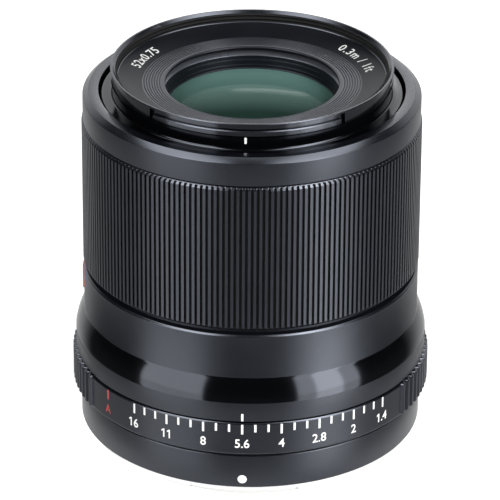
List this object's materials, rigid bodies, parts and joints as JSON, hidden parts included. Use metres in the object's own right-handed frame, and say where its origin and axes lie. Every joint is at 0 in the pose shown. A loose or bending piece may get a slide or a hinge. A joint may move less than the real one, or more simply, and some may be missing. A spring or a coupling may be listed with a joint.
{
  "type": "prime lens",
  "caption": "Fixed focal length lens with a ribbed focus ring, a knurled aperture ring with a scale, a threaded front and a bayonet at the rear.",
  "frame": {"origin": "on the optical axis, at the rear end of the bayonet that the lens stands on", "axes": "+Z along the optical axis towards the subject; the index marks face -Y"},
  "size_m": [0.0706, 0.0702, 0.0806],
  "materials": {
    "chrome": "satin chrome",
    "satin_black": "satin black anodised",
    "gloss_black": "gloss black",
    "ribbed_black": "satin black ribs",
    "inner_black": "matt black",
    "moulding": "moulded black",
    "blade_black": "matt coated steel",
    "coated_glass": "clear with a green coating",
    "steel": "bright",
    "gold_contact": "gold plated",
    "red_enamel": "red enamel",
    "board": "green solder mask"
  },
  "bodies": {
    "barrel": {"mount_ring": "chrome", "contact_block": "moulding", "contact_pads": "gold_contact", "rear_barrel": "satin_black", "fixed_barrel": "satin_black", "side_badge": "red_enamel", "front_shell": "satin_black", "filter_ring": "gloss_black", "name_ring": "inner_black", "front_retainer": "inner_black", "front_element": "coated_glass", "front_cell": "inner_black", "front_group_glass": "coated_glass", "iris_housing": "moulding", "guide_rods": "steel", "focus_motor": "steel", "rear_cell": "inner_black", "rear_group_glass": "coated_glass", "rear_cover": "moulding", "main_board": "board"},
    "focus_ring": {"focus_ring": "ribbed_black"},
    "aperture_ring": {"aperture_ring": "satin_black"},
    "iris_ring": {"iris_drive_ring": "moulding"},
    "focus_group": {"focus_carriage": "moulding", "focus_group_glass": "coated_glass"},
    "lead_screw": {"lead_screw": "steel"},
    "blade_1": {"iris_blade_1": "blade_black"},
    "blade_2": {"iris_blade_2": "blade_black"},
    "blade_3": {"iris_blade_3": "blade_black"},
    "blade_4": {"iris_blade_4": "blade_black"},
    "blade_5": {"iris_blade_5": "blade_black"},
    "blade_6": {"iris_blade_6": "blade_black"},
    "blade_7": {"iris_blade_7": "blade_black"},
    "blade_8": {"iris_blade_8": "blade_black"},
    "blade_9": {"iris_blade_9": "blade_black"}
  },
  "joints": [
    {"name": "focus_ring_turn", "type": "hinge", "parent": "barrel", "child": "focus_ring", "pos_m": [0, 0, 0.055], "axis": [0, 0, 1], "continuous": true},
    {"name": "aperture_ring_turn", "type": "hinge", "parent": "barrel", "child": "aperture_ring", "pos_m": [0, 0, 0.01747], "axis": [0, 0, 1], "range_deg": [-50.1, 50.1]},
    {"name": "iris_ring_turn", "type": "hinge", "parent": "barrel", "child": "iris_ring", "pos_m": [0, 0, 0.0504], "axis": [0, 0, 1], "range_deg": [0, 16]},
    {"name": "focus_slide", "type": "slide", "parent": "barrel", "child": "focus_group", "axis": [0, 0, 1], "range_m": [0, 0.005]},
    {"name": "screw_turn", "type": "hinge", "parent": "barrel", "child": "lead_screw", "pos_m": [0.01113, 0.01928, 0.035], "axis": [0, 0, 1], "range_deg": [-1801, 0]},
    {"name": "blade_1_turn", "type": "hinge", "parent": "barrel", "child": "blade_1", "pos_m": [0, -0.0153, 0.0485], "axis": [0, 0, 1], "range_deg": [0, 30.71]},
    {"name": "blade_2_turn", "type": "hinge", "parent": "barrel", "child": "blade_2", "pos_m": [0.00983, -0.01172, 0.0485], "axis": [0, 0, 1], "range_deg": [0, 30.71]},
    {"name": "blade_3_turn", "type": "hinge", "parent": "barrel", "child": "blade_3", "pos_m": [0.01507, -0.00266, 0.0485], "axis": [0, 0, 1], "range_deg": [0, 30.71]},
    {"name": "blade_4_turn", "type": "hinge", "parent": "barrel", "child": "blade_4", "pos_m": [0.01325, 0.00765, 0.0485], "axis": [0, 0, 1], "range_deg": [0, 30.71]},
    {"name": "blade_5_turn", "type": "hinge", "parent": "barrel", "child": "blade_5", "pos_m": [0.00523, 0.01438, 0.0485], "axis": [0, 0, 1], "range_deg": [0, 30.71]},
    {"name": "blade_6_turn", "type": "hinge", "parent": "barrel", "child": "blade_6", "pos_m": [-0.00523, 0.01438, 0.0485], "axis": [0, 0, 1], "range_deg": [0, 30.71]},
    {"name": "blade_7_turn", "type": "hinge", "parent": "barrel", "child": "blade_7", "pos_m": [-0.01325, 0.00765, 0.0485], "axis": [0, 0, 1], "range_deg": [0, 30.71]},
    {"name": "blade_8_turn", "type": "hinge", "parent": "barrel", "child": "blade_8", "pos_m": [-0.01507, -0.00266, 0.0485], "axis": [0, 0, 1], "range_deg": [0, 30.71]},
    {"name": "blade_9_turn", "type": "hinge", "parent": "barrel", "child": "blade_9", "pos_m": [-0.00983, -0.01172, 0.0485], "axis": [0, 0, 1], "range_deg": [0, 30.71]}
  ],
  "couplings": [
    {"joint": "screw_turn", "follows": "focus_slide", "rad_per_m": -6283.2},
    {"joint": "blade_1_turn", "follows": "iris_ring_turn", "ratio": 1.9187},
    {"joint": "blade_2_turn", "follows": "iris_ring_turn", "ratio": 1.9187},
    {"joint": "blade_3_turn", "follows": "iris_ring_turn", "ratio": 1.9187},
    {"joint": "blade_4_turn", "follows": "iris_ring_turn", "ratio": 1.9187},
    {"joint": "blade_5_turn", "follows": "iris_ring_turn", "ratio": 1.9187},
    {"joint": "blade_6_turn", "follows": "iris_ring_turn", "ratio": 1.9187},
    {"joint": "blade_7_turn", "follows": "iris_ring_turn", "ratio": 1.9187},
    {"joint": "blade_8_turn", "follows": "iris_ring_turn", "ratio": 1.9187},
    {"joint": "blade_9_turn", "follows": "iris_ring_turn", "ratio": 1.9187}
  ]
}
